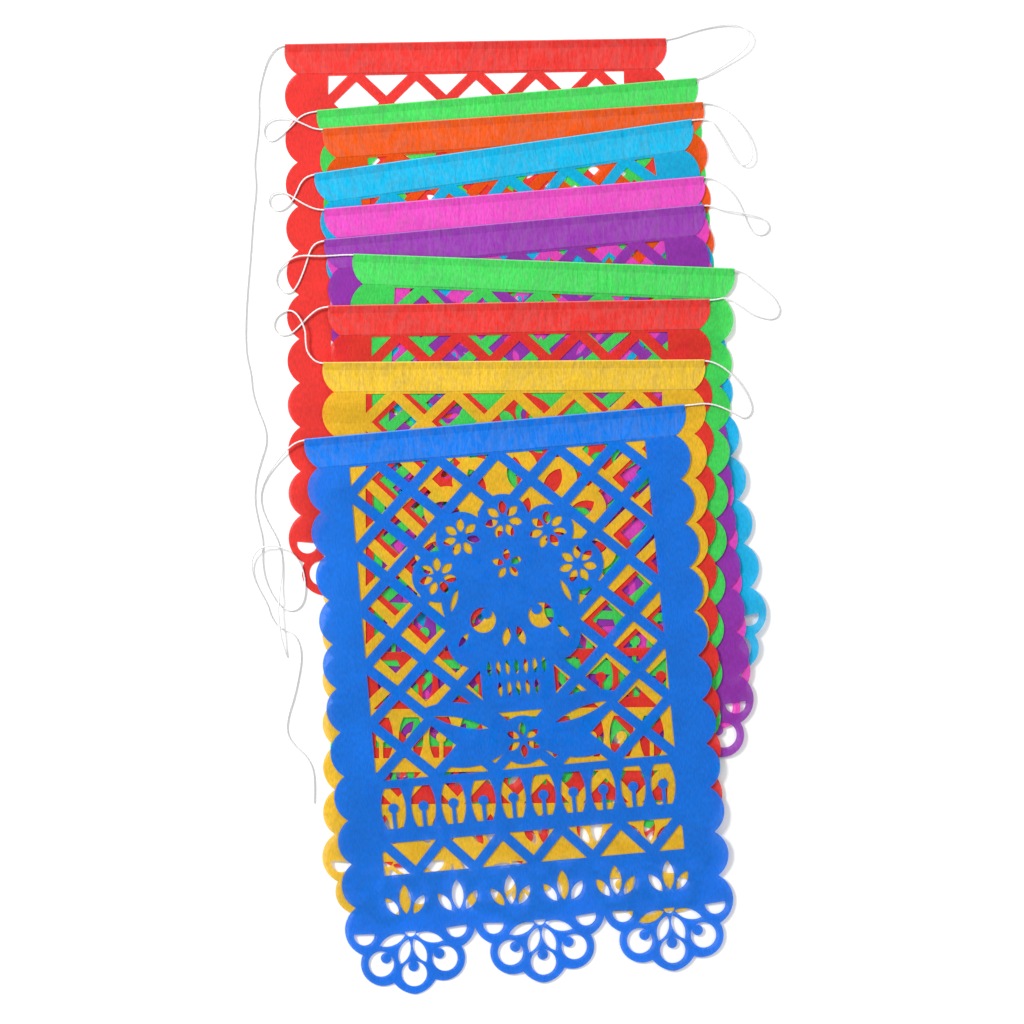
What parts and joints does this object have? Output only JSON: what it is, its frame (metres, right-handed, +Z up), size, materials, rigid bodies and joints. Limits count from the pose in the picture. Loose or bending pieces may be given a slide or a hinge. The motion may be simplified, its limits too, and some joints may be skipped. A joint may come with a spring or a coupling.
{
  "type": "papel picado banner",
  "caption": "garland of cut tissue-paper sheets, each hemmed over one string, lying fanned in a pile",
  "frame": {"origin": "on the surface that the garland lies on, at the middle of the ten sheets' bounding box seen from above", "axes": "+Z up, +Y from the last sheet's foot towards the first sheet's hem, +X to the right of a reader who faces the sheets"},
  "size_m": [0.4811, 0.8703, 0.0064],
  "materials": {
    "red_paper": "matt tissue paper",
    "green_paper": "matt tissue paper",
    "orange_paper": "matt tissue paper",
    "cyan_paper": "matt tissue paper",
    "pink_paper": "matt tissue paper",
    "purple_paper": "matt tissue paper",
    "yellow_paper": "matt tissue paper",
    "blue_paper": "matt tissue paper",
    "white_string": "soft twisted cotton string"
  },
  "bodies": {
    "root": {"sheet_01_red": "red_paper", "sheet_02_green": "green_paper", "sheet_03_orange": "orange_paper", "sheet_04_cyan": "cyan_paper", "sheet_05_pink": "pink_paper", "sheet_06_purple": "purple_paper", "sheet_07_green": "green_paper", "sheet_08_red": "red_paper", "sheet_09_yellow": "yellow_paper", "sheet_10_blue": "blue_paper", "string": "white_string"}
  },
  "joints": []
}
